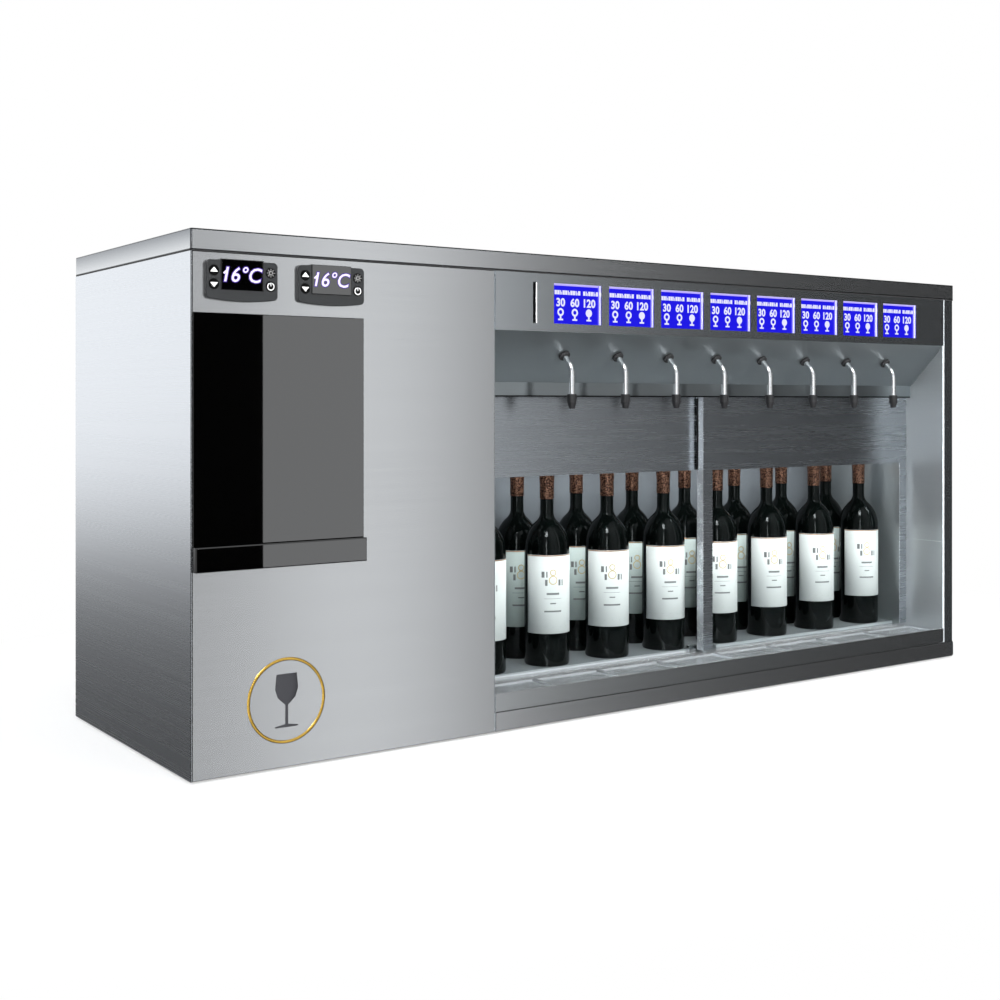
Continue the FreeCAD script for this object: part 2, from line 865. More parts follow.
def repeat_solid(body, count, pitch):
    """Copies the body's whole shape along X as separate solids."""
    transform = body.newObject("PartDesign::LinearPattern", "Copies")
    transform.TransformMode = "Whole shape"
    transform.Direction = (origin_part(body, "X_Axis"), [""])
    bind(transform, "Length", pitch * (count - 1))
    bind(transform, "Occurrences", count)
    finish(body, transform)


def make_card_reader():
    body = new_body("card_reader")
    wall = S.reader_wall
    low = (across(slot_centre - S.slot_width / 2), up(slot_bottom))
    high = (across(slot_centre + S.slot_width / 2), up(slot_bottom + S.slot_height))
    sketch = new_sketch(body, "front", back(S.sheet + S.slot_depth + wall))
    draw_rectangle(sketch, [c - wall for c in low], [c + wall for c in high])
    pad(body, sketch, S.slot_depth + wall)
    slot = new_sketch(body, "front", back(S.sheet))
    draw_rectangle(slot, low, high)
    pocket(body, slot, S.slot_depth)
    keep(body)


# The visible face of the incline runs through (sheet, fascia_bottom) and falls back at 45 degrees.
incline_back = S.sheet + S.incline_run
incline_foot = fascia_bottom - S.incline_run
skin_rise = S.sheet / SLANT
seat_depth = S.sheet + S.spout_seat
seat_height = fascia_bottom - S.spout_seat


def make_spout_panel():
    header_inside = incline_back + S.sheet
    outline = [(S.sheet, fascia_bottom), (incline_back, incline_foot), (incline_back, header_bottom),
               (S.track_front, header_bottom), (S.track_front, header_bottom + S.sheet),
               (header_inside, header_bottom + S.sheet), (header_inside, incline_foot + skin_rise - S.sheet),
               (S.sheet, fascia_bottom + skin_rise)]
    body = extrusion("spout_panel", outline, bay_left, bay_right)
    holes = new_sketch(body, "top")
    holes.AttachmentOffset = FreeCAD.Placement(FreeCAD.Vector(0, 0, 0),
                                               FreeCAD.Rotation(FreeCAD.Vector(1, 0, 0), -45))
    bind(holes, "AttachmentOffset.Base.x", across(display_first))
    bind(holes, "AttachmentOffset.Base.y", back(seat_depth))
    bind(holes, "AttachmentOffset.Base.z", up(seat_height))
    draw_circle(holes, (0, 0), S.grommet_neck + S.hole_clearance)
    repeat(body, pocket(body, holes), S.display_count, display_pitch)
    keep(body)


def make_door_track():
    """A double C channel: each door hangs by its glides on the lips of one channel."""
    lip_top = track_lip_bottom + S.track_lip
    room_top = lip_top + S.track_room
    front_room = S.track_front + S.track_wall
    front_slot = S.front_door_face + S.door_depth / 2 - S.track_slot / 2
    rear_slot = S.rear_door_face + S.door_depth / 2 - S.track_slot / 2
    web = (S.front_door_face + S.door_depth + S.rear_door_face - S.track_web) / 2
    rear_wall = shelf_front - S.track_wall
    lip = track_lip_bottom
    outline = [(S.track_front, header_bottom), (front_room, header_bottom), (front_room, lip),
               (front_slot, lip), (front_slot, lip_top), (front_room, lip_top), (front_room, room_top),
               (web, room_top), (web, lip_top), (front_slot + S.track_slot, lip_top),
               (front_slot + S.track_slot, lip), (rear_slot, lip), (rear_slot, lip_top),
               (web + S.track_web, lip_top), (web + S.track_web, room_top), (rear_wall, room_top),
               (rear_wall, lip_top), (rear_slot + S.track_slot, lip_top), (rear_slot + S.track_slot, lip),
               (shelf_front, lip), (shelf_front, room_top + S.track_wall),
               (S.track_front, room_top + S.track_wall)]
    keep(extrusion("door_track", outline, bay_left, bay_right))


def make_drip_bed():
    """Front strip, tray well and door floor folded from one sheet, with a guide tongue for each door."""
    well_in = S.well_floor - S.sheet
    strip_bottom = S.plinth_height + S.bed_gap
    floor_end = shelf_front - S.sheet
    outline = [(0, strip_bottom), (0, S.rim_height), (S.rim_depth, S.rim_height), (S.rim_depth, S.well_floor),
               (well_back, S.well_floor), (well_back, S.door_floor), (floor_end, S.door_floor),
               (floor_end, S.door_floor - S.sheet), (well_back + S.sheet, S.door_floor - S.sheet),
               (well_back + S.sheet, well_in), (S.rim_depth, well_in), (S.rim_depth, S.plinth_height),
               (S.rim_depth - S.sheet, S.plinth_height), (S.rim_depth - S.sheet, S.rim_height - S.sheet),
               (S.sheet, S.rim_height - S.sheet), (S.sheet, strip_bottom)]
    body = extrusion("drip_bed", outline, bay_left, bay_right)
    tongues = new_sketch(body, "top", up(S.door_floor))
    behind_pane = S.sheet + S.pane_sheet + S.door_gap
    left_start = left_door_left + left_door_width - S.guide_inset - S.guide_width
    for start, face in ((right_door_left + S.guide_inset, S.front_door_face), (left_start, S.rear_door_face)):
        draw_rectangle(tongues, (across(start), back(face + behind_pane)),
                       (across(start + S.guide_width), back(face + S.door_depth - S.sheet)))
    pad(body, tongues, S.guide_height)
    keep(body)


def make_drip_tray():
    """One lift-out tray with a shallow dish under each spout."""
    body = new_body("drip_tray")
    gap = S.tray_gap
    near = S.rim_depth + gap
    sketch = new_sketch(body, "top", up(S.well_floor))
    draw_rectangle(sketch, (across(bay_left + gap), back(near)), (across(bay_right - gap), back(near + S.tray_depth)))
    pad(body, sketch, S.tray_thickness)
    pitch = bay_width / S.dish_count
    dish = new_sketch(body, "top", up(S.well_floor + S.tray_thickness))
    draw_rectangle(dish, (across(bay_left + S.dish_border), back(near + S.dish_border)),
                   (across(bay_left + pitch - S.dish_border), back(near + S.tray_depth - S.dish_border)))
    cut = pocket(body, dish, S.dish_depth)
    cut.TaperAngle = -SIZES["dish_slope"]
    doc.recompute()
    repeat(body, cut, S.dish_count, pitch)
    keep(body)


def make_bottle_shelf():
    low = S.shelf_height - S.sheet
    foot = S.shelf_height - S.shelf_lip
    lip = shelf_front - S.sheet + S.glide_clearance
    outline = [(lip, foot), (lip, S.shelf_height), (S.liner_back, S.shelf_height), (S.liner_back, low),
               (lip + S.sheet, low), (lip + S.sheet, foot)]
    keep(extrusion("bottle_shelf", outline, bay_left, bay_right))


def make_bay_liner():
    foot = S.shelf_height - S.sheet
    outline = [(S.liner_back, foot), (S.liner_back, liner_top), (shelf_front, liner_top),
               (shelf_front, liner_top + S.sheet), (S.liner_back + S.sheet, liner_top + S.sheet),
               (S.liner_back + S.sheet, foot)]
    body = extrusion("bay_liner", outline, bay_left, bay_right)
    cut_hose_slots(body)
    keep(body)


# Doors

def make_door(side, start, width, face, left_stile, right_stile):
    """A folded frame with a clear pane behind it, and two glides that hang it in its channel."""
    end = start + width
    frame = new_body(f"{side}_door_frame")
    sketch = new_sketch(frame, "front", back(face + S.door_depth))
    draw_rectangle(sketch, (across(start), up(door_bottom)), (across(end), up(door_top)))
    pad(frame, sketch, S.door_depth)
    hollow = new_sketch(frame, "front", back(face + S.door_depth))
    draw_rectangle(hollow, (across(start + S.sheet), up(door_bottom - S.sheet)),
                   (across(end - S.sheet), up(door_top - S.sheet)))
    pocket(frame, hollow, S.door_depth - S.sheet, along_normal=True)
    window = new_sketch(frame, "front", back(face))
    draw_rectangle(window, (across(start + left_stile), up(door_bottom - S.sheet)),
                   (across(end - right_stile), up(window_top)))
    pocket(frame, window)
    keep(frame)

    lap = S.sheet + S.pane_gap
    keep(block(f"{side}_door_pane", (across(start + lap), across(end - lap)),
               (back(face + S.sheet), back(face + S.sheet + S.pane_sheet)),
               (up(door_bottom + S.pane_gap), up(window_top + S.pane_lap))))

    centre = face + S.door_depth / 2
    shoe = track_lip_bottom + S.track_lip + S.glide_clearance
    outline = [(centre - S.glide_stem / 2, door_top), (centre + S.glide_stem / 2, door_top),
               (centre + S.glide_stem / 2, shoe), (centre + S.glide_width / 2, shoe),
               (centre + S.glide_width / 2, shoe + S.glide_height),
               (centre - S.glide_width / 2, shoe + S.glide_height),
               (centre - S.glide_width / 2, shoe), (centre - S.glide_stem / 2, shoe)]
    first = start + S.glide_inset
    glides = extrusion(f"{side}_door_glides", outline, first, first + S.glide_length)
    repeat_solid(glides, as_size(2), width - S.glide_inset * 2 - S.glide_length)
    keep(glides)


def make_doors():
    make_door("left", left_door_left, left_door_width, S.rear_door_face, S.end_stile, S.meeting_stile)
    make_door("right", right_door_left, right_door_width, S.front_door_face, S.meeting_stile, S.end_stile)


# Spouts and their valves

def make_spout_tubes():
    """Chrome tubes that leave the incline squarely and bend down to the vertical."""
    body = new_body("spout_tubes")
    turn = S.spout_bend * SLANT
    bend_depth = seat_depth - S.spout_straight * SLANT
    bend_height = seat_height - S.spout_straight * SLANT
    axis_depth = bend_depth + turn - S.spout_bend
    points = [(axis_depth, nozzle_bottom + S.nozzle_seat), (axis_depth, bend_height - turn),
              (bend_depth, bend_height),
              (seat_depth + S.spout_tail * SLANT, seat_height + S.spout_tail * SLANT)]
    points = [(back(depth), up(height)) for depth, height in points]
    path = new_sketch(body, "side", across(display_first))
    drop = path.addGeometry(Part.LineSegment(spot(points[0]), spot(points[1])), False)
    centre = (points[1][0] + S.spout_bend, points[1][1])
    circle = Part.Circle(spot(centre), FreeCAD.Vector(0, 0, 1), SIZES["spout_bend"])
    bend = path.addGeometry(Part.ArcOfCircle(circle, math.radians(135), math.radians(180)), False)
    tail = path.addGeometry(Part.LineSegment(spot(points[2]), spot(points[3])), False)
    path.addConstraint(Sketcher.Constraint("Coincident", drop, 2, bend, 2))
    path.addConstraint(Sketcher.Constraint("Coincident", bend, 1, tail, 1))
    pin(path, drop, 1, points[0])
    pin(path, bend, 3, centre)
    pin(path, drop, 2, points[1])
    pin(path, tail, 2, points[3])
    pin_height = path.addConstraint(Sketcher.Constraint("DistanceY", -1, 1, tail, 1, points[2][1].value))
    path.renameConstraint(pin_height, "BendHeight")
    bind(path, "Constraints.BendHeight", points[2][1])
    disc = new_sketch(body, "top", points[0][1])
    draw_circle(disc, (across(display_first), points[0][0]), S.spout_radius)
    pipe = body.newObject("PartDesign::AdditivePipe", "Pipe")
    pipe.Profile = disc
    pipe.Spine = path
    finish(body, pipe)
    mouth = new_sketch(body, "top", points[0][1])
    draw_circle(mouth, (across(display_first), points[0][0]), S.spout_bore)
    pocket(body, mouth, points[1][1] - points[0][1], along_normal=True)
    repeat_solid(body, S.display_count, display_pitch)
    keep(body)
    return axis_depth


def make_nozzles(axis_depth):
    body = new_body("spout_nozzles")
    bore = S.spout_radius + S.seat_clearance
    revolve(body, [(S.spout_bore, 0), (S.nozzle_tip_radius, 0), (S.nozzle_radius, S.nozzle_height * 0.45),
                   (S.nozzle_radius, S.nozzle_height), (bore, S.nozzle_height), (bore, S.nozzle_seat),
                   (S.spout_bore, S.nozzle_seat)])
    repeat_solid(body, S.display_count, display_pitch)
    place(body, across(display_first), back(axis_depth), up(nozzle_bottom))
    keep(body)


# Local Z of a piece turned by this angle points out of the incline, down towards the drip tray.
OUT_OF_INCLINE = 135


def place_on_incline(body):
    place(body, across(display_first), back(seat_depth), up(seat_height), OUT_OF_INCLINE)


def make_grommets():
    """Collars on the incline, each with a neck through its hole."""
    body = new_body("spout_grommets")
    bore = S.spout_radius + S.seat_clearance
    rim = S.grommet_radius - S.edge_bevel
    revolve(body, [(bore, -S.sheet), (S.grommet_neck, -S.sheet), (S.grommet_neck, 0), (S.grommet_radius, 0),
                   (S.grommet_radius, S.grommet_height - S.edge_bevel), (rim, S.grommet_height),
                   (bore, S.grommet_height)])
    repeat_solid(body, S.display_count, display_pitch)
    place_on_incline(body)
    keep(body)


def make_dispense_valves():
    """A solenoid valve behind each spout, with its coil to one side."""
    body = new_body("dispense_valves")
    half = S.valve_width / 2
    near = -S.spout_tail
    sketch = new_sketch(body, "top", near - S.valve_length)
    draw_rectangle(sketch, (-half, -half), (half, half))
    pad(body, sketch, S.valve_length)
    coil = new_sketch(body, "front", -half)
    coil_low = near - (S.valve_length + S.coil_width) / 2
    draw_rectangle(coil, (-S.coil_width / 2, coil_low), (S.coil_width / 2, coil_low + S.coil_width))
    pad(body, coil, S.coil_length)
    repeat_solid(body, S.display_count, display_pitch)
    place_on_incline(body)
    keep(body)


# Bottles, stoppers, hoses and gas

bottle_top = S.shelf_height + S.bottle_height


def make_bottles(label, depth):
    """Eight bottles in a row. Cones through points of one arc make the shoulder, and one more the neck's foot."""
    body = new_body(label)
    arc_centre = S.bottle_radius - S.shoulder_radius
    reach = S.shoulder_radius + S.shoulder_blend
    lean = (S.neck_radius + S.shoulder_blend - arc_centre) / reach
    neck_foot = S.bottle_shoulder + reach * root(1 - lean * lean)
    outline = [(0, 0), (S.bottle_radius, 0), (S.bottle_radius, S.bottle_shoulder)]
    for share in (0.5, 1):
        turn = math.acos(lean.value) * share
        outline.append((arc_centre + S.shoulder_radius * math.cos(turn),
                        S.bottle_shoulder + S.shoulder_radius * math.sin(turn)))
    outline += [(S.neck_radius, neck_foot), (S.neck_radius, S.bottle_height), (0, S.bottle_height)]
    revolve(body, outline)
    repeat_solid(body, S.bottle_count, bottle_pitch)
    place(body, across(bottle_first), back(depth), up(S.shelf_height))
    keep(body)


def make_stoppers():
    body = new_body("bottle_stoppers")
    revolve(body, [(0, 0), (S.stopper_radius, 0), (S.stopper_radius, S.stopper_flange),
                   (S.stopper_waist, S.stopper_flange), (S.stopper_waist, S.stopper_height),
                   (0, S.stopper_height)])
    repeat_solid(body, S.bottle_count, bottle_pitch)
    place(body, across(bottle_first), back(S.front_row), up(bottle_top))
    keep(body)


def make_wine_hoses():
    """From each stopper up through the ceiling and over to its valve."""
    inlet = (S.spout_tail + S.valve_length) * SLANT
    end = (back(seat_depth + inlet), up(seat_height + inlet))
    fall = up(hose_ceiling) - end[1]
    routes = []
    for number in range(SIZES["bottle_count"]):
        bottle = across(bottle_first + bottle_pitch * number)
        spout = across(display_first + display_pitch * number)
        routes.append([(bottle, back(S.front_row), up(bottle_top + S.stopper_height)),
                       (bottle, back(S.front_row), up(hose_ceiling)),
                       (spout, end[0] + fall, up(hose_ceiling)),
                       (spout, end[0], end[1])])
    keep(tubes("wine_hoses", routes, S.hose_radius))


def make_gas_hoses():
    """From the manifold down to each stopper, and the supply line from the inlet to the manifold."""
    level = up(bottle_top + S.gas_hose_height)
    routes = []
    for number in range(SIZES["bottle_count"]):
        bottle = across(bottle_first + bottle_pitch * number)
        routes.append([(bottle, back(S.gas_row), up(ceiling_top)), (bottle, back(S.gas_row), level),
                       (bottle, back(S.front_row + S.stopper_waist), level)])
    port = across(gas_port_across)
    height = up(gas_port_height)
    routes.append([(port, back(S.cabinet_depth - S.fitting_inside), height),
                   (port, back(gas_wall_depth + S.regulator_size / 2), height)])
    turn = manifold_left - S.regulator_size / 2
    manifold = up(ceiling_top + S.manifold_size / 2)
    routes.append([(across(S.machine_width), back(gas_wall_depth), height),
                   (across(turn), back(gas_wall_depth), height), (across(turn), back(S.gas_row), manifold),
                   (across(manifold_left), back(S.gas_row), manifold)])
    keep(tubes("gas_hoses", routes, S.hose_radius))


def make_gas_manifold():
    """A bar on the bay's ceiling with a check valve over each bottle."""
    body = new_body("gas_manifold")
    half = S.manifold_size / 2
    sketch = new_sketch(body, "top", up(ceiling_top))
    draw_rectangle(sketch, (across(manifold_left), back(S.gas_row) - half),
                   (across(manifold_right), back(S.gas_row) + half))
    pad(body, sketch, S.manifold_size)
    valve = new_sketch(body, "top", up(ceiling_top + S.manifold_size))
    side = half - S.sheet
    draw_rectangle(valve, (across(bottle_first) - side, back(S.gas_row) - side),
                   (across(bottle_first) + side, back(S.gas_row) + side))
    repeat(body, pad(body, valve, S.manifold_size), S.bottle_count, bottle_pitch)
    keep(body)


def make_gas_regulator():
    """Pressure regulator on the compartment wall: a block, a spring bonnet above and a gauge in front."""
    body = new_body("gas_regulator")
    half = S.regulator_size / 2
    centre = S.machine_width - half
    low = up(gas_port_height) - half
    sketch = new_sketch(body, "top", low)
    draw_rectangle(sketch, (across(centre) - half, back(gas_wall_depth) - half),
                   (across(centre) + half, back(gas_wall_depth) + half))
    pad(body, sketch, S.regulator_size)
    bonnet = new_sketch(body, "top", low + S.regulator_size)
    draw_circle(bonnet, (across(centre), back(gas_wall_depth)), S.bonnet_radius)
    pad(body, bonnet, S.bonnet_height)
    gauge = new_sketch(body, "front", back(gas_wall_depth) - half)
    draw_circle(gauge, (across(centre), up(gas_port_height)), S.gauge_radius)
    pad(body, gauge, S.gauge_depth)
    keep(body)


# Local Z of a fitting turned by this angle points out of the cabinet's back.
OUT_OF_BACK = -90


def make_gas_inlet():
    """Push-in fitting for a 6 mm gas hose."""
    body = new_body("gas_inlet")
    bore_end = S.fitting_proud - S.fitting_reach
    revolve(body, [(0, -S.fitting_inside), (S.fitting_neck, -S.fitting_inside), (S.fitting_neck, 0),
                   (S.fitting_flange, 0), (S.fitting_flange, S.fitting_lip),
                   (S.fitting_radius, S.fitting_lip), (S.fitting_radius, S.fitting_proud),
                   (S.fitting_bore, S.fitting_proud), (S.fitting_bore, bore_end), (0, bore_end)])
    place(body, across(gas_port_across), back(S.cabinet_depth), up(gas_port_height), OUT_OF_BACK)
    keep(body)


def make_cable_gland():
    body = new_body("cable_gland")
    revolve(body, [(S.gland_bore, -S.gland_inside), (S.gland_neck, -S.gland_inside), (S.gland_neck, 0),
                   (S.gland_radius, 0), (S.gland_radius, S.gland_proud / 3), (S.gland_neck, S.gland_proud),
                   (S.gland_bore, S.gland_proud)])
    place(body, across(S.gland_across), back(S.cabinet_depth), up(S.gland_height), OUT_OF_BACK)
    keep(body)


# Touch screen and electronics

def make_touch_screen():
    x = (across(S.screen_left), across(S.screen_left + S.screen_width))
    glass = new_body("touch_glass")
    sketch = new_sketch(glass, "front", back(0))
    draw_rectangle(sketch, (x[0], up(screen_bottom)), (x[1], up(screen_top)))
    pad(glass, sketch, S.glass_proud)
    face = back(-S.glass_proud).value
    dress(glass, "Chamfer", S.edge_bevel, lambda edge: lies_at(edge, 1, face))
    keep(glass)

    chin = new_body("screen_chin")
    sketch = new_sketch(chin, "front", back(0))
    draw_rectangle(sketch, (x[0], up(chin_bottom)), (x[1], up(screen_bottom)))
    pad(chin, sketch, S.chin_proud)
    edge_face = back(-S.chin_proud).value
    dress(chin, "Chamfer", S.chin_bevel, lambda edge: lies_at(edge, 1, edge_face))
    keep(chin)

    inset = S.housing_inset
    keep(block("screen_housing", (x[0] + inset, x[1] - inset), (back(0), back(S.housing_depth)),
               (up(screen_bottom + inset), up(screen_top - inset))))


def make_control_board():
    """Circuit board on four standoffs behind the screen, with its parts."""
    body = new_body("control_board")
    low = (across(S.screen_left + S.housing_inset * 2), up(screen_bottom + S.housing_inset * 2))
    high = (across(S.screen_left + S.screen_width - S.housing_inset * 2),
            up(screen_top - S.housing_inset * 3))
    stand = S.housing_depth + S.board_standoff
    sketch = new_sketch(body, "front", back(stand + S.board_sheet))
    draw_rectangle(sketch, low, high)
    pad(body, sketch, S.board_sheet)
    posts = new_sketch(body, "front", back(stand))
    for x in (low[0] + S.chip_height, high[0] - S.chip_height):
        for z in (low[1] + S.chip_height, high[1] - S.chip_height):
            draw_rectangle(posts, (x - S.board_standoff, z - S.board_standoff),
                           (x + S.board_standoff, z + S.board_standoff))
    pad(body, posts, S.board_standoff)
    chips = new_sketch(body, "front", back(stand + S.board_sheet + S.chip_height))
    for column, width in ((0.15, 0.2), (0.45, 0.12), (0.7, 0.2)):
        for shelf_share, height in ((0.2, 0.12), (0.6, 0.18)):
            x = low[0] + (high[0] - low[0]) * column
            z = low[1] + (high[1] - low[1]) * shelf_share
            draw_rectangle(chips, (x, z), (x + (high[0] - low[0]) * width, z + (high[1] - low[1]) * height))
    pad(body, chips, S.chip_height)
    keep(body)


def make_power_supply():
    """Closed supply box on the machine tray, with cooling slots in its top."""
    body = new_body("power_supply")
    x = across(S.condenser_left)
    y = back(S.foot_inset)
    sketch = new_sketch(body, "top", up(tray_floor))
    draw_rectangle(sketch, (x, y), (x + S.supply_width, y + S.supply_depth))
    pad(body, sketch, S.supply_height)
    slots = new_sketch(body, "top", up(tray_floor + S.supply_height))
    for number in range(6):
        start = x + S.fold + number * S.board_thickness * 0.7
        draw_rectangle(slots, (start, y + S.fold), (start + S.fin_slot, y + S.supply_depth - S.fold))
    pocket(body, slots, S.sheet)
    keep(body)


# Temperature controllers

def make_controllers():
    """Two panel controllers, each with a bowed bezel, a case behind it and pockets for its keys."""
    body = new_body("controllers")
    low = (across(S.controller_left), up(controller_bottom))
    high = (low[0] + S.controller_width, low[1] + S.controller_height)
    corners = [low, (low[0], high[1]), high, (high[0], low[1])]
    sketch = new_sketch(body, "front", back(0))
    lines = [sketch.addGeometry(Part.LineSegment(spot(a), spot(b)), False)
             for a, b in zip(corners, corners[1:])]
    half = S.controller_width / 2
    bow_radius = (half * half + S.controller_bow * S.controller_bow) / (S.controller_bow * 2)
    bottom = spot((low[0] + half, low[1] - S.controller_bow))
    bow = sketch.addGeometry(Part.Arc(spot(low), bottom, spot(corners[3])), False)
    for one, other in zip(lines, lines[1:]):
        sketch.addConstraint(Sketcher.Constraint("Coincident", one, 2, other, 1))
    sketch.addConstraint(Sketcher.Constraint("Coincident", bow, 1, lines[0], 1))
    sketch.addConstraint(Sketcher.Constraint("Coincident", bow, 2, lines[2], 2))
    for line, corner in zip(lines, corners):
        pin(sketch, line, 1, corner)
    pin(sketch, lines[2], 2, corners[3])
    number = sketch.addConstraint(Sketcher.Constraint("Radius", bow, bow_radius.value))
    sketch.renameConstraint(number, "Bow")
    bind(sketch, "Constraints.Bow", bow_radius)
    pad(body, sketch, S.controller_proud)
    dress(body, "Fillet", S.controller_corner, lambda edge: runs_along(edge, 1))
    face = back(-S.controller_proud).value
    dress(body, "Chamfer", S.edge_bevel, lambda edge: lies_at(edge, 1, face))
    middle = (low[0] + S.controller_width / 2, low[1] + S.controller_height / 2)
    case = new_sketch(body, "front", back(S.case_depth))
    draw_rectangle(case, (middle[0] - S.case_width / 2, middle[1] - S.case_height / 2),
                   (middle[0] + S.case_width / 2, middle[1] + S.case_height / 2))
    pad(body, case, S.case_depth)
    keys = new_sketch(body, "front", back(-S.controller_proud))
    for x, z in key_places(0):
        draw_circle(keys, (x, z), S.button_radius + S.button_clearance)
    pocket(body, keys, S.button_pocket)
    recess = new_sketch(body, "front", back(-S.controller_proud))
    draw_rectangle(recess, *window_corners())
    pocket(body, recess, S.window_seat)
    repeat_solid(body, as_size(2), S.controller_pitch)
    keep(body)

    windows = new_body("controller_windows")
    sketch = new_sketch(windows, "front", back(S.window_seat - S.controller_proud))
    draw_rectangle(sketch, *window_corners())
    pad(windows, sketch, S.window_seat + S.window_proud)
    glass_face = back(-S.controller_proud - S.window_proud).value
    dress(windows, "Chamfer", S.edge_bevel, lambda edge: lies_at(edge, 1, glass_face))
    repeat_solid(windows, as_size(2), S.controller_pitch)
    keep(windows)


def window_corners():
    x = across(S.controller_left + S.window_left)
    top = up(controller_bottom + S.controller_height + S.window_over)
    return (x, top - S.window_height), (x + S.window_width, top)


def key_places(number):
    """Places of the up, down, lamp and power keys of one controller."""
    start = across(S.controller_left + S.controller_pitch * number)
    sides = (start + S.button_side, start + S.controller_width - S.button_side)
    heights = (up(controller_bottom + S.upper_button), up(controller_bottom + S.lower_button))
    return [(x, z) for x in sides for z in heights]


def make_buttons():
    face = S.controller_proud + S.button_proud
    for number, side in enumerate(("left", "right")):
        for name, (x, z) in zip(("up", "down", "lamp", "power"), key_places(number)):
            body = new_body(f"{side}_{name}_button")
            sketch = new_sketch(body, "front", back(S.button_length - face))
            draw_circle(sketch, (x, z), S.button_radius)
            pad(body, sketch, S.button_length)
            keep(body)


# Cooling unit

def make_cold_plates():
    """Evaporator plates between the liner and its insulation."""
    y = (back(S.liner_back + S.sheet), back(S.liner_back + S.sheet + S.cold_plate_sheet))
    z = (up(plate_bottom), up(plate_bottom + cold_plate_height))
    start = bay_left + S.cold_plate_gap
    plates = []
    for number in range(2):
        low = start + (cold_plate_width + S.cold_plate_gap) * number
        plates.append(block(f"cold_plate_{number + 1}", (across(low), across(low + cold_plate_width)), y, z))
    keep(group("cold_plates", plates))


shell_bottom = tray_floor + S.mount_height + S.sheet * 2


def make_compressor():
    """Hermetic shell on a foot plate with four rubber mounts."""
    body = new_body("compressor")
    radius = S.compressor_radius
    base = S.mount_height + S.sheet * 2
    tall = S.compressor_height
    revolve(body, [(0, base), (radius, base), (radius, base + tall * 0.72), (radius * 0.85, base + tall * 0.88),
                   (radius * 0.45, base + tall), (0, base + tall)])
    plate = new_sketch(body, "top", S.mount_height)
    draw_rectangle(plate, (-radius, -radius * 0.75), (radius, radius * 0.75))
    pad(body, plate, S.sheet * 2)
    mounts = new_sketch(body, "top")
    for x in (-radius * 0.8, radius * 0.8):
        for y in (-radius * 0.55, radius * 0.55):
            half = S.mount_height * 0.8
            draw_rectangle(mounts, (x - half, y - half), (x + half, y + half))
    pad(body, mounts, S.mount_height)
    place(body, across(compressor_across), back(S.compressor_back), up(tray_floor))
    keep(body)


def make_condenser():
    """Finned block with a header pipe at each end."""
    body = new_body("condenser")
    x = across(S.condenser_left)
    y = back(condenser_front)
    header = S.condenser_depth / 4
    low = (x + header, y)
    high = (x + condenser_width - header, y + S.condenser_depth)
    sketch = new_sketch(body, "top", up(tray_floor))
    draw_rectangle(sketch, low, high)
    pad(body, sketch, S.condenser_height)
    pipes = new_sketch(body, "top", up(tray_floor))
    for centre in (low[0], high[0]):
        draw_circle(pipes, (centre, y + S.condenser_depth / 2), header)
    pad(body, pipes, S.condenser_height)
    slot = new_sketch(body, "front", y)
    pitch = (condenser_width - header * 4) / S.fin_count
    start = x + header * 2 + (pitch - S.fin_slot) / 2
    draw_rectangle(slot, (start, up(tray_floor + header)),
                   (start + S.fin_slot, up(tray_floor + S.condenser_height) - header))
    repeat(body, pocket(body, slot, S.condenser_depth / 2), S.fin_count, pitch)
    keep(body)


collar_front = condenser_front - S.shroud_sheet - S.fan_collar


def make_fan_shroud():
    """Square plate and round collar against the condenser, with the motor on a cross of four arms."""
    body = new_body("fan_shroud")
    x = across(fan_across)
    z = up(S.fan_height)
    half = S.shroud_size / 2
    plate = new_sketch(body, "front", back(condenser_front))
    draw_rectangle(plate, (x - half, z - half), (x + half, z + half))
    draw_circle(plate, (x, z), S.fan_opening)
    pad(body, plate, S.shroud_sheet)
    collar = new_sketch(body, "front", back(condenser_front - S.shroud_sheet))
    draw_circle(collar, (x, z), S.fan_opening)
    draw_circle(collar, (x, z), S.fan_opening + S.sheet * 2)
    pad(body, collar, S.fan_collar)
    arm = S.fan_opening + S.sheet
    width = S.mount_height / 2
    for wide, tall in ((arm, width), (width, arm)):
        bar = new_sketch(body, "front", back(collar_front + S.shroud_sheet))
        draw_rectangle(bar, (x - wide, z - tall), (x + wide, z + tall))
        pad(body, bar, S.shroud_sheet)
    motor = new_sketch(body, "front", back(collar_front + S.shroud_sheet))
    draw_circle(motor, (x, z), S.motor_radius)
    pad(body, motor, S.motor_length)
    shaft = new_sketch(body, "front", back(collar_front + S.shroud_sheet * 2 + S.hub_length))
    draw_circle(shaft, (x, z), S.shaft_radius)
    pad(body, shaft, S.hub_length + S.shroud_sheet * 2)
    keep(body)


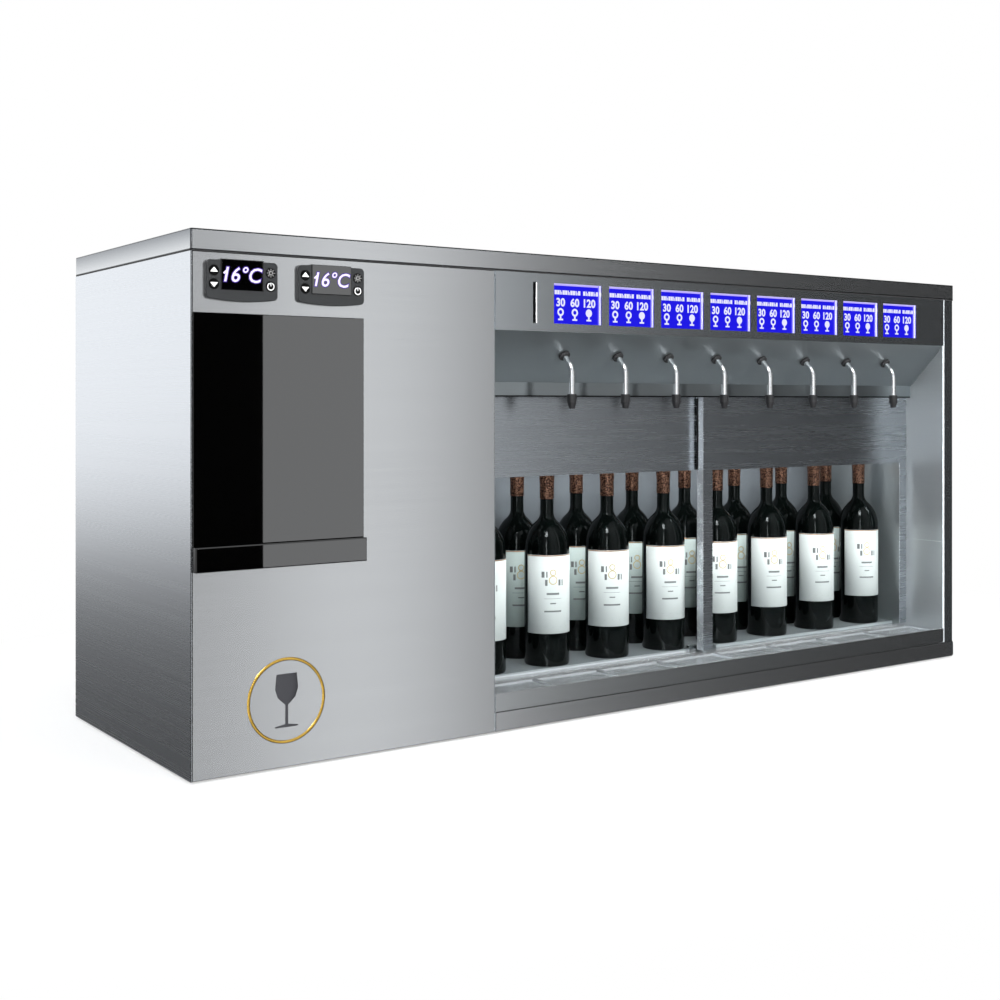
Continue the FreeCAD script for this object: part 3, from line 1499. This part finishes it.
def make_fan_rotor():
    """Five pitched blades lofted from a narrow root to a wide tip, on a hub that runs on the shaft."""
    body = new_body("fan_rotor")
    hub = new_sketch(body, "top")
    draw_circle(hub, (0, 0), S.hub_radius)
    pad(body, hub, S.hub_length)
    sections = []
    tilt = math.radians(SIZES["blade_pitch"])
    run = math.cos(tilt) / 2
    rise = math.sin(tilt) / 2
    for radius, chord in ((S.hub_radius * 0.9, S.blade_root), (S.fan_radius, S.blade_tip)):
        sketch = new_sketch(body, "side", radius)
        middle = S.hub_length / 2
        thick = S.blade_sheet
        draw_outline(sketch, [(-chord * run + thick * rise, middle - chord * rise - thick * run),
                              (chord * run + thick * rise, middle + chord * rise - thick * run),
                              (chord * run - thick * rise, middle + chord * rise + thick * run),
                              (-chord * run - thick * rise, middle - chord * rise + thick * run)])
        sections.append(sketch)
    blade = body.newObject("PartDesign::AdditiveLoft", "Blade")
    blade.Profile = sections[0]
    blade.Sections = [sections[1]]
    finish(body, blade)
    ring = body.newObject("PartDesign::PolarPattern", "Blades")
    ring.Originals = [blade]
    ring.Axis = (origin_part(body, "Z_Axis"), [""])
    ring.Angle = 360
    bind(ring, "Occurrences", S.blade_count)
    finish(body, ring)
    bore = new_sketch(body, "top")
    draw_circle(bore, (0, 0), S.shaft_radius + S.shaft_clearance)
    pocket(body, bore)
    place(body, across(fan_across), back(collar_front + S.shroud_sheet * 2), up(S.fan_height), OUT_OF_BACK)
    keep(body)


def make_refrigerant_lines():
    """Discharge line to the condenser, liquid line to the plates, suction line back, and a link pipe."""
    shell_side = compressor_across - S.compressor_radius
    low = shell_bottom + S.compressor_height / 2
    header = S.condenser_left
    header_back = condenser_front + S.condenser_depth / 2
    corridor = S.fold
    discharge = [(shell_side, S.compressor_back, low), (corridor, S.compressor_back, low),
                 (corridor, header_back, low), (header, header_back, low)]
    right_end = S.condenser_left + condenser_width
    riser = S.machine_width - S.board_thickness * 2
    plate = bay_left + S.cold_plate_gap
    liquid = [(right_end, header_back, S.gland_height), (riser - S.board_thickness, header_back, S.gland_height),
              (riser - S.board_thickness, header_back, pipe_heights[1]),
              (riser - S.board_thickness, pipe_depth, pipe_heights[1]), (plate, pipe_depth, pipe_heights[1])]
    shell_top = shell_bottom + S.compressor_height
    suction = [(plate, pipe_depth, pipe_heights[0]), (riser, pipe_depth, pipe_heights[0]),
               (riser, S.compressor_back, pipe_heights[0]),
               (compressor_across, S.compressor_back, pipe_heights[0]),
               (compressor_across, S.compressor_back, shell_top)]
    link_start = plate + cold_plate_width
    link = [(link_start, pipe_depth, pipe_heights[1]),
            (link_start + S.cold_plate_gap, pipe_depth, pipe_heights[1])]
    routes = [[(across(x), back(y), up(z)) for x, y, z in route] for route in (discharge, liquid, suction, link)]
    keep(tubes("refrigerant_lines", routes, S.pipe_radius))


make_top_cover()
make_top_deck()
make_left_side_panel()
make_right_side_panel()
make_rear_panel()
make_service_panel()
make_compartment_wall()
make_insulation()
make_bay_plinth()
make_machine_tray()
make_feet()
make_display_fascia()
make_display_modules()
make_card_reader()
make_spout_panel()
make_door_track()
make_drip_bed()
make_drip_tray()
make_bottle_shelf()
make_bay_liner()
make_doors()
make_nozzles(make_spout_tubes())
make_grommets()
make_dispense_valves()
make_bottles("front_bottles", S.front_row)
make_bottles("rear_bottles", S.rear_row)
make_stoppers()
make_wine_hoses()
make_gas_hoses()
make_gas_manifold()
make_gas_regulator()
make_gas_inlet()
make_cable_gland()
make_touch_screen()
make_control_board()
make_power_supply()
make_controllers()
make_buttons()
make_cold_plates()
make_compressor()
make_condenser()
make_fan_shroud()
make_fan_rotor()
make_refrigerant_lines()

doc.recompute()
for item in doc.Objects:
    if any(word in item.State for word in ("Invalid", "Error")):
        raise RuntimeError(f"{item.Label} failed: {item.State}")
os.makedirs("parts", exist_ok=True)
for item in pieces:
    shape = item.Shape
    if shape.isNull() or not shape.isValid() or not shape.Solids:
        raise RuntimeError(f"{item.Label} has no valid solid")
for item in pieces:
    item.Shape.exportStep(f"parts/{item.Label}.step")
print(len(pieces), "pieces,", sum(len(item.Shape.Solids) for item in pieces), "solids")
